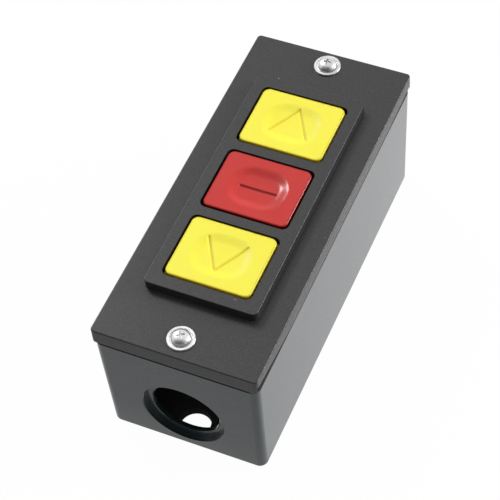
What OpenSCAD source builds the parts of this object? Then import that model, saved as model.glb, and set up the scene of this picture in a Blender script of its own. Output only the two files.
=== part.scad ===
// Three-button control station for a roller door: up, stop and down.
// Millimetres. The back face lies on z = 0, +Z points out through the buttons, and +Y runs
// from the cable entry towards the up button. The origin is the middle of the back face.

/* [Buttons] */
// Width of a button, across the case
button_w = 25.8; // [25.4:0.2:30]
// Length of a button, along the case
button_l = 21.2; // [20.2:0.2:26]
// Radius of a button's corners
button_r = 2; // [1.6:0.1:2.8]
// Gap between a button and its window, all round
button_gap = 0.7; // [0.5:0.05:0.8]
// How far the buttons stand above the raised panel
button_proud = 0.2; // [0.1:0.1:2]
// How far a button travels when it is pressed
travel = 4; // [3.5:0.25:4.75]
// How far a plunger goes on after its bridge has landed on the lower contacts
over_travel = 1; // [0.6:0.1:1.4]
// Thickness of a button's top, below its finger dish
cap_t = 1.8; // [1.4:0.1:2]
// Thickness of a button's skirt
skirt_t = 1.8; // [1.4:0.1:2.2]
// How far the flange that keeps a button in stands out
flange_out = 1.5; // [1.2:0.1:1.7]
// Thickness of that flange
flange_t = 1.5; // [1.2:0.1:2]
// Bevel round the top of a button
button_bevel = 0.35; // [0.2:0.05:0.6]
// Diameter of the boss inside a button that sits on its plunger
button_boss_d = 9; // [8:0.2:10]
// Length of the finger dish, across the case
dish_l = 18; // [16:0.5:20]
// Width of the finger dish, along the case
dish_w = 15; // [12:0.5:16]
// Depth of the finger dish
dish_depth = 0.6; // [0.4:0.1:1]
// Width of the sloping edge all round the finger dish
dish_edge = 3.5; // [2.5:0.1:4.5]
// Width of the engraved marks
mark_w = 1.1; // [0.8:0.1:1.6]
// Depth of the engraved marks below the bottom of the dish
mark_d = 0.25; // [0.2:0.05:0.5]
// Span of a chevron mark
mark_span = 11.8; // [9:0.2:13]
// Height of a chevron mark
mark_rise = 10.2; // [8:0.2:11]
// How far the up mark sits towards the up end
up_mark_shift = 0.9; // [0.1:0.1:1.2]
// Length of the bar mark
bar_l = 11.1; // [8:0.1:13]

/* [Cover] */
// Width of the bar between two windows
window_bar = 3.15; // [3:0.05:6]
// Width of the raised panel beside the windows
panel_side = 3.45; // [3:0.05:4.5]
// Width of the raised panel beyond the end windows
panel_end = 3.95; // [3:0.05:6]
// Height of the raised panel above the cover's face
panel_h = 3; // [2.4:0.1:3.6]
// Radius of the raised panel's corners
panel_r = 1.6; // [1:0.1:3]
// Flat face beside the raised panel
side_land = 7.75; // [7.6:0.05:12]
// Flat face beyond each end of the raised panel
end_land = 18; // [17:0.25:24]
// Height of the cover's rim
rim_h = 5.36; // [4.8:0.1:7]
// Thickness of the cover's face
cover_t = 2.8; // [2.2:0.1:3.2]
// Thickness of the ribs that steady the contact block at both ends
rib_t = 2.4; // [2:0.1:3]
// Radius of the cover's corners
cover_r = 1.2; // [0.8:0.1:3]
// Bevel round the cover's face
cover_bevel = 0.35; // [0.2:0.05:0.6]
// How far the tongue under the rim reaches into the base
tongue_h = 2; // [1.5:0.1:3]
// Thickness of the tongue
tongue_t = 1.3; // [1:0.1:1.6]
// How far the rim's long sides lift off the base near the cable end
front_lift = 1.1; // [0.4:0.1:1.5]
// How far the rim's long sides lift off the base near the far end
back_lift = 0.6; // [0.3:0.1:1.2]

/* [Base] */
// Height of the base, up to the seam
base_h = 39.94; // [39:0.1:46]
// How far each outer wall leans in from the seam to the back face
lean = 0.64; // [0.3:0.02:1]
// How far the cover overhangs the base, all round
overhang = 0.16; // [0.1:0.02:0.3]
// Radius of the base's corners, at the back face
base_r = 2.2; // [1.6:0.1:3]
// Thickness of the side walls at the back face
side_wall = 2.4; // [2:0.1:2.5]
// Thickness of the end walls at the back face
end_wall = 3.4; // [3:0.1:4]
// Thickness of the back wall
floor_t = 3; // [2.5:0.1:4]
// Radius of the cable entry
entry_r = 10.3; // [6:0.1:10.8]
// Radius of the shallow seat round the cable entry
seat_r = 12.42; // [11:0.1:12.6]
// Depth of that seat
seat_d = 1.95; // [1:0.05:2.4]
// Height of the cable entry's axis above the back face
entry_z = 15.1; // [13.5:0.1:15.6]
// Radius of the boss that each cover screw bites into
screw_boss_r = 4.75; // [4.2:0.05:5]
// Distance from a screw boss to the nearer end of the cover, before the face's shift
boss_end = 1.05; // [0.8:0.05:1.6]
// Height of those bosses, down from the seam
screw_boss_h = 11.4; // [9:0.2:11.6]
// Radius of the two wall screw holes
wall_hole_r = 2.5; // [2:0.1:3]
// Distance of a wall screw hole from the inside of the side wall
wall_hole_side = 7.6; // [6:0.2:9]
// Distance of a wall screw hole from the inside of the end wall
wall_hole_end = 8.8; // [7.8:0.2:10]

/* [Contact block] */
// Width of each terminal shelf
shelf_w = 6.6; // [6:0.1:7.4]
// Height of the terminal shelves above the pillars
shelf_h = 11; // [10:0.5:12]
// Thickness of the block below each spring
cell_floor = 2; // [1.5:0.1:3]
// Thickness of the block's inner side walls
cell_wall = 1.5; // [1.2:0.1:2]
// Height of the side walls above the upper contacts
crown_h = 2.8; // [2:0.1:3.4]
// Gap between the block and the base's side walls
block_gap = 0.5; // [0.4:0.1:0.8]
// Thickness of the ribs between terminals
barrier_t = 1.2; // [0.8:0.1:1.4]
// Height of the ribs between terminals
barrier_h = 6; // [4:0.5:7]
// Thickness of the guide plate
plate_t = 2; // [1.5:0.1:2.6]
// Gap between a plunger and the hole that guides it
guide_gap = 0.1; // [0.05:0.01:0.2]

/* [Contacts] */
// Thickness of the brass strips
strip_t = 1; // [0.8:0.1:1.2]
// Thickness of a silver tip
tip_t = 1; // [0.7:0.1:1.2]
// Radius of a silver tip
tip_r = 2; // [1.5:0.1:2.2]
// Radius of the rivet stem on a bridge tip
tip_stem_r = 1; // [0.7:0.05:1.2]
// Thickness of a contact bridge
bridge_t = 1.2; // [1:0.1:1.5]
// Width of a contact bridge
bridge_w = 6; // [5.4:0.1:6.2]
// Gap between the end of a bridge and the block's wall
bridge_end_gap = 1.5; // [1.2:0.1:2]
// Distance from a silver tip to the end of its bridge
tip_edge = 0.1; // [0.05:0.05:0.6]
// Gap between a terminal's clamp and the edges of its shelf
terminal_gap = 0.4; // [0.2:0.05:0.6]

/* [Plungers and springs] */
// Width of a plunger, across the case
plunger_w = 9; // [8:0.2:9.6]
// Thickness of a plunger, along the case
plunger_l = 10; // [9.6:0.1:10.6]
// Gap between a bridge and the window that it sits in
window_gap = 0.2; // [0.1:0.05:0.3]
// Height of the plunger below its window
plunger_foot = 4.5; // [4:0.1:5]
// Diameter of the peg on top of a plunger
peg_d = 5; // [4:0.1:5.6]
// Height of that peg
peg_h = 3; // [2:0.1:3.4]
// Length of a contact spring
contact_spring_l = 6.8; // [6:0.1:7.4]
// Outer diameter of the springs
spring_d = 5.2; // [4.6:0.1:5.4]
// Wire of a return spring
return_wire = 0.6; // [0.4:0.05:0.7]
// Wire of a contact spring
contact_wire = 0.5; // [0.4:0.05:0.6]
// Turns in a return spring
return_turns = 8; // [6:1:9]
// Turns in a contact spring
contact_turns = 5; // [4:1:6]
// How far a return spring reaches into its plunger
spring_seat = 3; // [2:0.1:3.4]

/* [Fasteners] */
// Radius of a cover screw's flange
cover_flange_r = 4.1; // [3.6:0.1:4.4]
// Thickness of a cover screw's flange
cover_flange_t = 0.5; // [0.3:0.05:0.8]
// Radius of a cover screw's dome
cover_dome_r = 3; // [2.6:0.1:3.3]
// Height of a cover screw's dome above its flange
cover_dome_h = 1.7; // [1.4:0.1:2.2]
// Radius of a cover screw's shank
cover_shank_r = 1.75; // [1.5:0.05:2]
// Length of a cover screw below its flange
cover_screw_l = 16; // [12:0.5:16.5]
// Radius of a block screw's head
block_head_r = 3.6; // [3:0.1:3.8]
// Height of a block screw's head
block_head_h = 2.6; // [2:0.1:3]
// Radius of a block screw's shank
block_shank_r = 1.95; // [1.6:0.05:2]
// Radius of a pillar
pillar_r = 4.6; // [4.2:0.1:5]
// Height of a terminal screw's head
terminal_head_h = 2.2; // [1.6:0.1:2.4]
// Radius of a terminal screw's shank
terminal_shank_r = 1.5; // [1.2:0.05:1.7]
// Thickness of a terminal nut
terminal_nut_t = 2; // [1.6:0.1:2.6]
// Thickness of a terminal clamp
clamp_t = 0.8; // [0.6:0.05:1]

/* [Hidden] */
$fn = 48;

// Overrun of every cut past the face it starts from
over = 1;
// Clearance of a screw in the hole that it passes through
hole_clear = 0.25;
// Clearance between moulded pieces that fit into each other
fit = 0.1;
// How far the furniture of the face sits towards the up end from the middle of the cover
face_y = 0.4;

// The face, worked out from the buttons outwards
window_w = button_w + 2 * button_gap;
window_l = button_l + 2 * button_gap;
pitch = window_l + window_bar;
panel_w = window_w + 2 * panel_side;
panel_l = 2 * pitch + window_l + 2 * panel_end;
case_w = panel_w + 2 * side_land;
case_l = panel_l + 2 * end_land;
flange_w = button_w + 2 * flange_out;
flange_l = button_l + 2 * flange_out;
UP = pitch;
STOP = 0;
DOWN = -pitch;
stations = [UP, STOP, DOWN];

// Heights of the case
face_z = base_h + rim_h;
face_under_z = face_z - cover_t;
panel_z = face_z + panel_h;
panel_under_z = panel_z - cover_t;

// Outline of the base and its cavity
base_w = case_w - 2 * overhang - 2 * lean;
base_l = case_l - 2 * overhang - 2 * lean;
cavity_w = base_w - 2 * side_wall;
cavity_l = base_l - 2 * end_wall;
cavity_r = base_r;
screw_boss_z = base_h - screw_boss_h;
screw_y = case_l / 2 - boss_end - screw_boss_r;
wall_hole_x = cavity_w / 2 - wall_hole_side;
wall_hole_y = cavity_l / 2 - wall_hole_end;
tongue_w = cavity_w - 2 * fit;
tongue_l = cavity_l - 2 * fit;

// Half of the spare height lies under the contact block and half over the plungers' pegs
contact_gap = travel - over_travel;
shoulder_gap = 0.6;
contacts_h = 2 * strip_t + 4 * tip_t + contact_gap + bridge_t;
block_h = shelf_h + contacts_h + crown_h;
peg_room = peg_h + fit;
cap_z = panel_z + button_proud;
cap_under_z = cap_z - dish_depth - cap_t;
spare_h = cap_under_z - floor_t - block_h - plate_t - travel - shoulder_gap - peg_room;
pillar_h = spare_h / 2;

// Heights of the contact block, from the back wall outwards
block_z = floor_t + pillar_h;
cell_z = block_z + cell_floor;
shelf_z = block_z + shelf_h;
lower_tip_z = shelf_z + strip_t;
bridge_z = lower_tip_z + tip_t + contact_gap + tip_t;
bridge_top_z = bridge_z + bridge_t;
upper_tip_z = bridge_top_z + tip_t;
upper_strip_z = upper_tip_z + tip_t;
crown_z = block_z + block_h;
plate_z = crown_z + plate_t;
window_top_z = bridge_top_z + contact_spring_l;
plunger_z = bridge_z - plunger_foot;
shoulder_z = plate_z + travel + shoulder_gap;
spring_top_z = plunger_z + spring_seat;

// Plan of the contact block
cell_l = plunger_l + 4 * guide_gap;
block_w = cavity_w - 2 * block_gap;
housing_w = block_w - 2 * shelf_w;
cell_half_w = housing_w / 2 - cell_wall;
bridge_l = 2 * (cell_half_w - bridge_end_gap);
tip_x = bridge_l / 2 - tip_edge - tip_r;
terminal_x = (housing_w + shelf_w) / 2;
clamp_w = shelf_w - 2 * terminal_gap;
terminal_nut_w = clamp_w - 3 * fit;
terminal_head_r = clamp_w / 2 - fit;
strip_gap = 0.1;
foot_in_y = barrier_t / 2 + 2 * strip_gap;
neck_w = 2.7;
neck_y = foot_in_y + neck_w;
terminal_y = neck_y + terminal_gap + clamp_w / 2;
foot_out_y = terminal_y + clamp_w / 2 + 2 * strip_gap;
block_l = 2 * (pitch + foot_out_y + barrier_t);
tongue_in_x = plunger_w / 2 + 2 * strip_t;
contact_reach = 0.5;

// Springs and their seats
spring_hole_r = spring_d / 2 + 3 * guide_gap;
spring_post_r = spring_d / 2 - return_wire - 4 * guide_gap;
spring_post_h = 2;
contact_post_r = spring_d / 2 - contact_wire - 7 * guide_gap;
contact_post_h = 0.8;
coil_sides = 6;
coil_steps = 12;
seat_gap = 0.02;

// Screw lengths and recesses
block_tip_z = floor_t + fit;
terminal_tip = 3;
terminal_hole = 3.6;
recess_w_share = 0.3;
recess_l_share = 1.1;
recess_d_share = 0.7;

// A flat slab with round corners, from z = 0 up
module slab(w, l, h, r) {
    linear_extrude(h) {
        square([w - 2 * r, l], center = true);
        square([w, l - 2 * r], center = true);
        for (x = [-1, 1], y = [-1, 1])
            translate([x * (w / 2 - r), y * (l / 2 - r)]) circle(r);
    }
}

// A bar of trapezoid section: width w at the bottom, opening by d on each side over height h
module leaning_bar(w, l, h, d) {
    translate([0, l / 2, 0])
        rotate([90, 0, 0])
            linear_extrude(l)
                polygon([[-w / 2, 0], [w / 2, 0], [w / 2 + d, h], [-w / 2 - d, h]]);
}

// A block with round corners and walls that lean out by d over height h
module leaning_slab(w, l, h, r, d) {
    leaning_bar(w, l - 2 * r, h, d);
    rotate([0, 0, 90]) leaning_bar(l, w - 2 * r, h, d);
    for (x = [-1, 1], y = [-1, 1])
        translate([x * (w / 2 - r), y * (l / 2 - r), 0]) cylinder(h, r, r + d);
}

// The inside of a bevel b round the top of a block w by l that ends at height z
module bevel_limit(w, l, z, b) {
    intersection() {
        translate([0, l, 0])
            rotate([90, 0, 0])
                linear_extrude(2 * l)
                    polygon([[-w / 2, 0], [w / 2, 0], [w / 2, z - b], [w / 2 - b, z],
                             [b - w / 2, z], [-w / 2, z - b]]);
        translate([-w, 0, 0])
            rotate([90, 0, 90])
                linear_extrude(2 * w)
                    polygon([[-l / 2, 0], [l / 2, 0], [l / 2, z - b], [l / 2 - b, z],
                             [b - l / 2, z], [-l / 2, z - b]]);
    }
}

// Children at one station of the face
module at_station(y) {
    translate([0, face_y + y, 0]) children();
}

// Children at both cover screws
module at_cover_screws() {
    for (side = [-1, 1])
        translate([0, face_y + side * screw_y, 0]) rotate([0, 0, 90 - side * 90]) children();
}

// Children at both block screws, which stand between the stations
module at_block_screws() {
    for (side = [-1, 1])
        translate([0, face_y + side * pitch / 2, 0]) children();
}

// Children at every terminal, four to a station, with +X towards the block's outer side
module at_terminals() {
    for (y = stations, side = [-1, 1], turn = [-1, 1])
        at_station(y) translate([side * terminal_x, turn * terminal_y, shelf_z])
            rotate([0, 0, 90 - side * 90]) children();
}

// A cross recess sunk from z = 0 into a screw head of radius r
module cross_recess(r, h) {
    for (turn = [0, 90])
        rotate([0, 0, turn])
            translate([-r * recess_l_share / 2, -r * recess_w_share / 2, -h * recess_d_share])
                cube([r * recess_l_share, r * recess_w_share, h]);
}

// A domed screw head of radius r and height h, standing on z = 0
module dome_head(r, h) {
    ball_r = (r * r + h * h) / (2 * h);
    difference() {
        intersection() {
            cylinder(h, r, r);
            translate([0, 0, h - ball_r]) sphere(ball_r, $fn = 96);
        }
        translate([0, 0, h]) cross_recess(r, h);
    }
}

module base_box() {
    color("#26282a") difference() {
        union() {
            difference() {
                leaning_slab(base_w, base_l, base_h, base_r, lean);
                translate([0, 0, floor_t]) slab(cavity_w, cavity_l, base_h, cavity_r);
            }
            at_block_screws() cylinder(block_z, pillar_r, pillar_r);
            for (side = [-1, 1])
                translate([-block_w / 4, face_y + side * (block_l / 2 - rib_t) - rib_t / 2, 0])
                    cube([block_w / 2, rib_t, block_z]);
            at_cover_screws() screw_boss();
        }
        at_cover_screws() translate([0, 0, screw_boss_z - over])
            cylinder(screw_boss_h + 2 * over, cover_shank_r + seat_gap, cover_shank_r + seat_gap);
        intersection() {
            at_cover_screws() translate([0, 0, -over])
                cylinder(floor_t + 2 * over, screw_boss_r, screw_boss_r);
            translate([0, 0, -over]) slab(cavity_w, cavity_l, floor_t + 2 * over, cavity_r);
        }
        at_block_screws() translate([0, 0, floor_t])
            cylinder(block_z, block_shank_r + seat_gap, block_shank_r + seat_gap);
        for (side = [-1, 1])
            translate([-side * wall_hole_x, face_y + side * wall_hole_y, -over])
                cylinder(floor_t + 2 * over, wall_hole_r, wall_hole_r);
        cable_entry();
    }
}

// The boss for a cover screw, joined to the end wall behind it. The back wall has a hole of
// the same outline below it, where the mould's core reached in to shape its underside.
module screw_boss() {
    translate([0, 0, screw_boss_z]) {
        cylinder(screw_boss_h, screw_boss_r, screw_boss_r);
        translate([-screw_boss_r, 0, 0])
            cube([2 * screw_boss_r, base_l / 2 - face_y - screw_y, screw_boss_h]);
    }
}

// The stepped round opening in the end wall at -Y
module cable_entry() {
    wall_y = base_l / 2 + lean * entry_z / base_h;
    translate([0, -wall_y, entry_z]) rotate([-90, 0, 0]) {
        translate([0, 0, -over]) cylinder(end_wall + 2 * over, entry_r, entry_r);
        translate([0, 0, -over]) cylinder(seat_d + over, seat_r, seat_r);
    }
}

module cover() {
    color("#26282a") difference() {
        union() {
            intersection() {
                translate([0, 0, base_h]) slab(case_w, case_l, rim_h, cover_r);
                bevel_limit(case_w, case_l, face_z, cover_bevel);
            }
            translate([0, face_y, face_under_z]) slab(panel_w, panel_l, panel_z - face_under_z, panel_r);
            translate([0, 0, base_h - tongue_h])
                slab(tongue_w, tongue_l, tongue_h + rim_h - cover_t, cavity_r);
        }
        cover_hollow();
        at_cover_screws()
            translate([0, 0, base_h - tongue_h - over])
                cylinder(tongue_h + rim_h + 2 * over, cover_shank_r + hole_clear, cover_shank_r + hole_clear);
        for (y = stations)
            at_station(y) translate([0, 0, panel_under_z - over])
                slab(window_w, window_l, cover_t + 2 * over, button_r);
        for (side = [-1, 1]) rim_lift(side);
    }
}

// The room under the cover, which leaves the rim, the tongue and a boss at each screw
module cover_hollow() {
    pocket_l = 2 * pitch + flange_l + 2 * button_gap;
    difference() {
        translate([0, 0, base_h - tongue_h - over])
            slab(tongue_w - 2 * tongue_t, tongue_l - 2 * tongue_t,
                 tongue_h + rim_h - cover_t + over, cavity_r);
        at_cover_screws() translate([0, 0, base_h])
            cylinder(rim_h, screw_boss_r, screw_boss_r);
    }
    translate([0, face_y, face_under_z - over])
        slab(flange_w + 2 * button_gap, pocket_l, panel_under_z - face_under_z + over, button_r);
    at_cover_screws()
        translate([-screw_boss_r - fit, -screw_boss_r - fit, base_h - tongue_h - over])
            cube([2 * screw_boss_r + 2 * fit, case_l, tongue_h + over]);
}

// The thin wedges by which the rim's long sides stand clear of the base near both ends
module rim_lift(side) {
    reach = case_l / 2 - cover_r / 2;
    depth = (case_w - tongue_w) / 2;
    run = end_land + 2 * panel_end;
    translate([side * (case_w / 2 + over) - (side + 1) / 2 * (depth + over), 0, base_h])
        rotate([90, 0, 90])
            linear_extrude(depth + over) {
                polygon([[-reach, 0], [run - reach, 0], [-reach, front_lift]]);
                polygon([[reach, 0], [reach, back_lift], [reach - run, 0]]);
            }
}

module cover_screws() {
    color("#c8ccd0") at_cover_screws() {
        translate([0, 0, face_z - cover_screw_l]) cylinder(cover_screw_l, cover_shank_r, cover_shank_r);
        translate([0, 0, face_z]) cylinder(cover_flange_t, cover_flange_r, cover_flange_r - cover_flange_t / 2);
        translate([0, 0, face_z + cover_flange_t]) dome_head(cover_dome_r, cover_dome_h);
    }
}

// A button cap with its flange, inner boss and ribs
module button_cap() {
    flange_z = panel_under_z - flange_t;
    difference() {
        union() {
            difference() {
                union() {
                    intersection() {
                        translate([0, 0, flange_z]) slab(button_w, button_l, cap_z - flange_z, button_r);
                        bevel_limit(button_w, button_l, cap_z, button_bevel);
                    }
                    translate([0, 0, flange_z]) slab(flange_w, flange_l, flange_t, button_r);
                }
                translate([0, 0, flange_z - over])
                    slab(button_w - 2 * skirt_t, button_l - 2 * skirt_t, cap_under_z - flange_z + over,
                         button_r / 2);
            }
            translate([0, 0, shoulder_z])
                cylinder(cap_under_z - shoulder_z, button_boss_d / 2, button_boss_d / 2);
            translate([skirt_t - button_w / 2, -skirt_t / 2, flange_z])
                cube([button_w - 2 * skirt_t, skirt_t, cap_under_z - flange_z]);
            translate([-skirt_t / 2, skirt_t - button_l / 2, flange_z])
                cube([skirt_t, button_l - 2 * skirt_t, cap_under_z - flange_z]);
        }
        translate([0, 0, shoulder_z - over])
            cylinder(peg_room + over, peg_d / 2 + seat_gap, peg_d / 2 + seat_gap);
        finger_dish();
    }
}

// The hollow in a button's top: a flat floor inside a sloping edge with round corners
module finger_dish() {
    floor_r = dish_edge / 4;
    grow = 1 + over / dish_depth;
    translate([0, 0, cap_z - dish_depth])
        leaning_slab(dish_l - 2 * dish_edge, dish_w - 2 * dish_edge, dish_depth * grow, floor_r,
                     dish_edge * grow);
}

// A groove with round ends between two points, sunk to the marks' depth
module groove(from, to) {
    run = to - from;
    length = norm(run);
    depth = dish_depth + mark_d;
    translate([from[0], from[1], cap_z - depth]) rotate([0, 0, atan2(run[1], run[0])]) {
        translate([0, -mark_w / 2, 0]) cube([length, mark_w, depth + over]);
        for (x = [0, length]) translate([x, 0, 0]) cylinder(depth + over, mark_w / 2, mark_w / 2);
    }
}

// A chevron that points up for turn = 1 and down for turn = -1
module chevron(turn) {
    for (side = [-1, 1])
        groove([0, turn * mark_rise / 2], [side * mark_span / 2, -turn * mark_rise / 2]);
}

module up_button() {
    color("#f5e21c") at_station(UP) difference() {
        button_cap();
        translate([0, up_mark_shift, 0]) chevron(1);
    }
}

module stop_button() {
    color("#c0302c") at_station(STOP) difference() {
        button_cap();
        groove([-bar_l / 2, 0], [bar_l / 2, 0]);
    }
}

module down_button() {
    color("#f5e21c") at_station(DOWN) difference() {
        button_cap();
        chevron(-1);
    }
}

// A plunger: it carries the bridge in its window, a button on its peg and a spring in its foot
module plunger() {
    window_l2 = bridge_w + 2 * window_gap;
    difference() {
        union() {
            translate([-plunger_w / 2, -plunger_l / 2, plunger_z])
                cube([plunger_w, plunger_l, shoulder_z - plunger_z]);
            translate([0, 0, shoulder_z]) cylinder(peg_h, peg_d / 2, peg_d / 2);
        }
        translate([-plunger_w, -window_l2 / 2, bridge_z])
            cube([2 * plunger_w, window_l2, window_top_z - bridge_z]);
        translate([0, 0, plunger_z - over]) cylinder(spring_seat + over, spring_hole_r, spring_hole_r);
    }
    translate([0, 0, window_top_z - contact_post_h])
        cylinder(contact_post_h, contact_post_r, contact_post_r);
}

module up_plunger() {
    color("#e8e4d8") at_station(UP) plunger();
}

module stop_plunger() {
    color("#e8e4d8") at_station(STOP) plunger();
}

module down_plunger() {
    color("#e8e4d8") at_station(DOWN) plunger();
}

// One ring of a coil: the points of the wire's section at turn t of the coil
function coil_ring(t, turns, r, wire_r, height) =
    [for (k = [0 : coil_sides - 1])
        let (a = 360 * t, b = 360 * k / coil_sides, far = r + wire_r * cos(b))
        [far * cos(a), far * sin(a), wire_r + (height - 2 * wire_r) * t / turns + wire_r * sin(b)]];

// The triangles of a tube of n rings, with its two ends closed
function tube_faces(n, s) = concat(
    [for (i = [0 : n - 2], k = [0 : s - 1]) [i * s + k, i * s + s + k, i * s + (k + 1) % s]],
    [for (i = [0 : n - 2], k = [0 : s - 1])
        [i * s + (k + 1) % s, i * s + s + k, i * s + s + (k + 1) % s]],
    [for (k = [1 : s - 2]) [0, k, k + 1]],
    [for (k = [1 : s - 2]) [n * s - s, n * s - s + k + 1, n * s - s + k]]);

// A compression spring between two heights
module spring(low_z, high_z, wire, turns) {
    height = high_z - low_z - 2 * seat_gap;
    rings = turns * coil_steps + 1;
    points = [for (i = [0 : rings - 1])
        each coil_ring(i / coil_steps, turns, (spring_d - wire) / 2, wire / 2, height)];
    translate([0, 0, low_z + seat_gap]) polyhedron(points, tube_faces(rings, coil_sides));
}

module up_return_spring() {
    color("#b9bcc0") at_station(UP) spring(cell_z, spring_top_z, return_wire, return_turns);
}

module stop_return_spring() {
    color("#b9bcc0") at_station(STOP) spring(cell_z, spring_top_z, return_wire, return_turns);
}

module down_return_spring() {
    color("#b9bcc0") at_station(DOWN) spring(cell_z, spring_top_z, return_wire, return_turns);
}

// A contact bridge with a stud that centres its spring and two rivet holes
module contact_bridge() {
    difference() {
        translate([-bridge_l / 2, -bridge_w / 2, bridge_z]) cube([bridge_l, bridge_w, bridge_t]);
        for (side = [-1, 1])
            translate([side * tip_x, 0, bridge_z - over])
                cylinder(bridge_t + 2 * over, tip_stem_r + seat_gap, tip_stem_r + seat_gap);
    }
    translate([0, 0, bridge_top_z]) cylinder(contact_post_h, contact_post_r, contact_post_r);
}

module up_contact_bridge() {
    color("#c9a24a") at_station(UP) contact_bridge();
}

module stop_contact_bridge() {
    color("#c9a24a") at_station(STOP) contact_bridge();
}

module down_contact_bridge() {
    color("#c9a24a") at_station(DOWN) contact_bridge();
}

// The two double-headed silver rivets of a bridge
module bridge_tips() {
    for (side = [-1, 1]) translate([side * tip_x, 0, 0]) {
        translate([0, 0, bridge_z - tip_t]) cylinder(tip_t, tip_r, tip_r);
        translate([0, 0, bridge_z - tip_t]) cylinder(bridge_t + 2 * tip_t, tip_stem_r, tip_stem_r);
        translate([0, 0, bridge_top_z]) cylinder(tip_t, tip_r, tip_r);
    }
}

module up_bridge_tips() {
    color("#d8dadc") at_station(UP) bridge_tips();
}

module stop_bridge_tips() {
    color("#d8dadc") at_station(STOP) bridge_tips();
}

module down_bridge_tips() {
    color("#d8dadc") at_station(DOWN) bridge_tips();
}

module up_contact_spring() {
    color("#b9bcc0") at_station(UP) spring(bridge_top_z, window_top_z, contact_wire, contact_turns);
}

module stop_contact_spring() {
    color("#b9bcc0") at_station(STOP) spring(bridge_top_z, window_top_z, contact_wire, contact_turns);
}

module down_contact_spring() {
    color("#b9bcc0") at_station(DOWN) spring(bridge_top_z, window_top_z, contact_wire, contact_turns);
}

module contact_block() {
    color("#5b3320") difference() {
        union() {
            translate([-housing_w / 2, face_y - block_l / 2, block_z])
                cube([housing_w, block_l, block_h]);
            translate([-block_w / 2, face_y - block_l / 2, block_z]) cube([block_w, block_l, shelf_h]);
            barriers();
        }
        for (y = stations) at_station(y) {
            cell();
            strip_slots();
        }
        at_block_screws() {
            translate([0, 0, block_z - over])
                cylinder(block_h + 2 * over, block_shank_r + hole_clear, block_shank_r + hole_clear);
            core_outs();
        }
        at_terminals() {
            translate([0, 0, -terminal_nut_t - terminal_hole])
                cylinder(terminal_hole + over, terminal_shank_r + hole_clear, terminal_shank_r + hole_clear);
            translate([-terminal_nut_w / 2 - fit, -terminal_nut_w / 2 - fit, -terminal_nut_t])
                cube([shelf_w + terminal_nut_w, terminal_nut_w + 2 * fit, terminal_nut_t + over]);
        }
    }
    color("#5b3320") for (y = stations)
        at_station(y) translate([0, 0, cell_z]) cylinder(spring_post_h, spring_post_r, spring_post_r);
}

// The ribs that stand between neighbouring terminals and at both ends of the shelves
module barriers() {
    last_y = (block_l - barrier_t) / 2;
    for (y = [-last_y, -pitch, -pitch / 2, 0, pitch / 2, pitch, last_y])
        translate([-block_w / 2, face_y + y - barrier_t / 2, shelf_z])
            cube([block_w, barrier_t, barrier_h]);
}

// The room for one plunger and its bridge
module cell() {
    narrow_w = plunger_w + 2 * contact_reach;
    translate([-narrow_w / 2, -cell_l / 2, cell_z]) cube([narrow_w, cell_l, crown_z - cell_z + over]);
    translate([-cell_half_w, -cell_l / 2, shelf_z]) cube([2 * cell_half_w, cell_l, crown_z - shelf_z + over]);
}

// The slots in a cell's side walls that the strips pass through
module strip_slots() {
    for (side = [-1, 1]) {
        slot(side, -1, shelf_z, strip_t + 2 * strip_gap);
        slot(side, 1, upper_strip_z, crown_z - upper_strip_z + over);
    }
}

module slot(side, turn, z, h) {
    middle_y = turn * (foot_in_y + neck_w / 2);
    translate([side * (cell_half_w + cell_wall / 2) - cell_wall, middle_y - neck_w / 2 - strip_gap, z])
        cube([2 * cell_wall, neck_w + 2 * strip_gap, h]);
}

// The hollows moulded into the block on either side of a fixing screw, open at the bottom
module core_outs() {
    gap_l = pitch - cell_l - 2 * cell_wall;
    inner_x = pillar_r + cell_wall;
    for (side = [-1, 1])
        translate([side * (inner_x + cell_half_w) / 2 - (cell_half_w - inner_x) / 2, -gap_l / 2, block_z - over])
            cube([cell_half_w - inner_x, gap_l, crown_z - block_z - cell_wall + over]);
}

module guide_plate() {
    color("#8a5a34") difference() {
        union() {
            translate([-housing_w / 2, face_y - block_l / 2, crown_z]) cube([housing_w, block_l, plate_t]);
            for (y = stations, side = [-1, 1]) at_station(y) plate_tooth(side);
        }
        for (y = stations)
            at_station(y) translate([-plunger_w / 2 - guide_gap, -plunger_l / 2 - guide_gap, crown_z - over])
                cube([plunger_w + 2 * guide_gap, plunger_l + 2 * guide_gap, plate_t + 2 * over]);
        at_block_screws() translate([0, 0, crown_z - over])
            cylinder(plate_t + 2 * over, block_shank_r + hole_clear, block_shank_r + hole_clear);
    }
}

// A tooth under the plate that fills a slot down to the upper contact in it
module plate_tooth(side) {
    low_z = upper_strip_z + strip_t;
    translate([side * (cell_half_w + cell_wall / 2) - cell_wall / 2, foot_in_y, low_z])
        cube([cell_wall, neck_w, crown_z - low_z]);
}

module block_screws() {
    color("#c8ccd0") at_block_screws() {
        translate([0, 0, block_tip_z]) cylinder(plate_z - block_tip_z, block_shank_r, block_shank_r);
        translate([0, 0, plate_z]) dome_head(block_head_r, block_head_h);
    }
}

// The foot of a strip under its terminal screw, on the side given by side and turn
module strip_foot(side, turn) {
    width = shelf_w - 2 * strip_gap;
    length = foot_out_y - foot_in_y;
    middle_y = turn * (foot_in_y + foot_out_y) / 2;
    difference() {
        translate([side * terminal_x - width / 2, middle_y - length / 2, shelf_z])
            cube([width, length, strip_t]);
        translate([side * terminal_x, turn * terminal_y, shelf_z - over])
            cylinder(strip_t + 2 * over, terminal_shank_r + hole_clear, terminal_shank_r + hole_clear);
    }
}

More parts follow.
